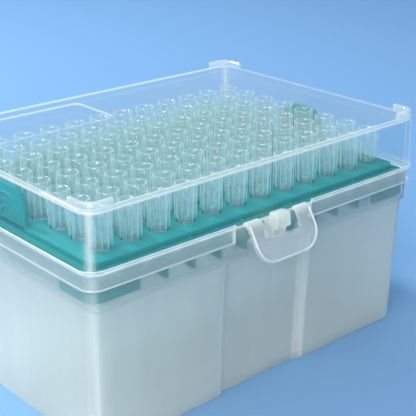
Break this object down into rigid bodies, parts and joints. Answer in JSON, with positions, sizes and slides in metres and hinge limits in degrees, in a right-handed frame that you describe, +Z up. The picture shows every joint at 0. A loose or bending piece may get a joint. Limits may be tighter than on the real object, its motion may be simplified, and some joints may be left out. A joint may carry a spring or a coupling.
{
  "type": "box of pipette tips",
  "caption": "Hinged box of clear pipette tips: frosted base, teal tray, clear latched lid.",
  "frame": {"origin": "centre of the flat underside of the base", "axes": "+X along the long side, across the twelve columns; -Y out of the latch side, +Y to the hinge; +Z up"},
  "size_m": [0.1212, 0.1004, 0.0695],
  "materials": {
    "frosted_base": "frosted translucent polypropylene",
    "clear_lid": "slightly hazy clear polypropylene",
    "teal_tray": "satin moulded polypropylene",
    "clear_tip": "clear polypropylene"
  },
  "bodies": {
    "base": {"base": "frosted_base", "tray": "teal_tray", "tip_A1": "clear_tip", "tip_A2": "clear_tip", "tip_A3": "clear_tip", "tip_A4": "clear_tip", "tip_A5": "clear_tip", "tip_A6": "clear_tip", "tip_A7": "clear_tip", "tip_A8": "clear_tip", "tip_A9": "clear_tip", "tip_A10": "clear_tip", "tip_A11": "clear_tip", "tip_A12": "clear_tip", "tip_B1": "clear_tip", "tip_B2": "clear_tip", "tip_B3": "clear_tip", "tip_B4": "clear_tip", "tip_B5": "clear_tip", "tip_B6": "clear_tip", "tip_B7": "clear_tip", "tip_B8": "clear_tip", "tip_B9": "clear_tip", "tip_B10": "clear_tip", "tip_B11": "clear_tip", "tip_B12": "clear_tip", "tip_C1": "clear_tip", "tip_C12": "clear_tip", "tip_D1": "clear_tip", "tip_D12": "clear_tip", "tip_E1": "clear_tip", "tip_E12": "clear_tip", "tip_F1": "clear_tip", "tip_F12": "clear_tip", "tip_G1": "clear_tip", "tip_G2": "clear_tip", "tip_G3": "clear_tip", "tip_G4": "clear_tip", "tip_G5": "clear_tip", "tip_G6": "clear_tip", "tip_G7": "clear_tip", "tip_G8": "clear_tip", "tip_G9": "clear_tip", "tip_G10": "clear_tip", "tip_G11": "clear_tip", "tip_G12": "clear_tip", "tip_H1": "clear_tip", "tip_H2": "clear_tip", "tip_H3": "clear_tip", "tip_H4": "clear_tip", "tip_H5": "clear_tip", "tip_H6": "clear_tip", "tip_H7": "clear_tip", "tip_H8": "clear_tip", "tip_H9": "clear_tip", "tip_H10": "clear_tip", "tip_H11": "clear_tip", "tip_H12": "clear_tip"},
    "lid": {"lid": "clear_lid"},
    "latch": {"latch": "clear_lid"}
  },
  "joints": [
    {"name": "lid_hinge", "type": "hinge", "parent": "base", "child": "lid", "pos_m": [0, 0.0454, 0.0467], "axis": [-1, 0, 0], "range_deg": [0, 110]},
    {"name": "latch_hinge", "type": "hinge", "parent": "lid", "child": "latch", "pos_m": [0, -0.0433, 0.0526], "axis": [-1, 0, 0], "range_deg": [0, 70]}
  ]
}
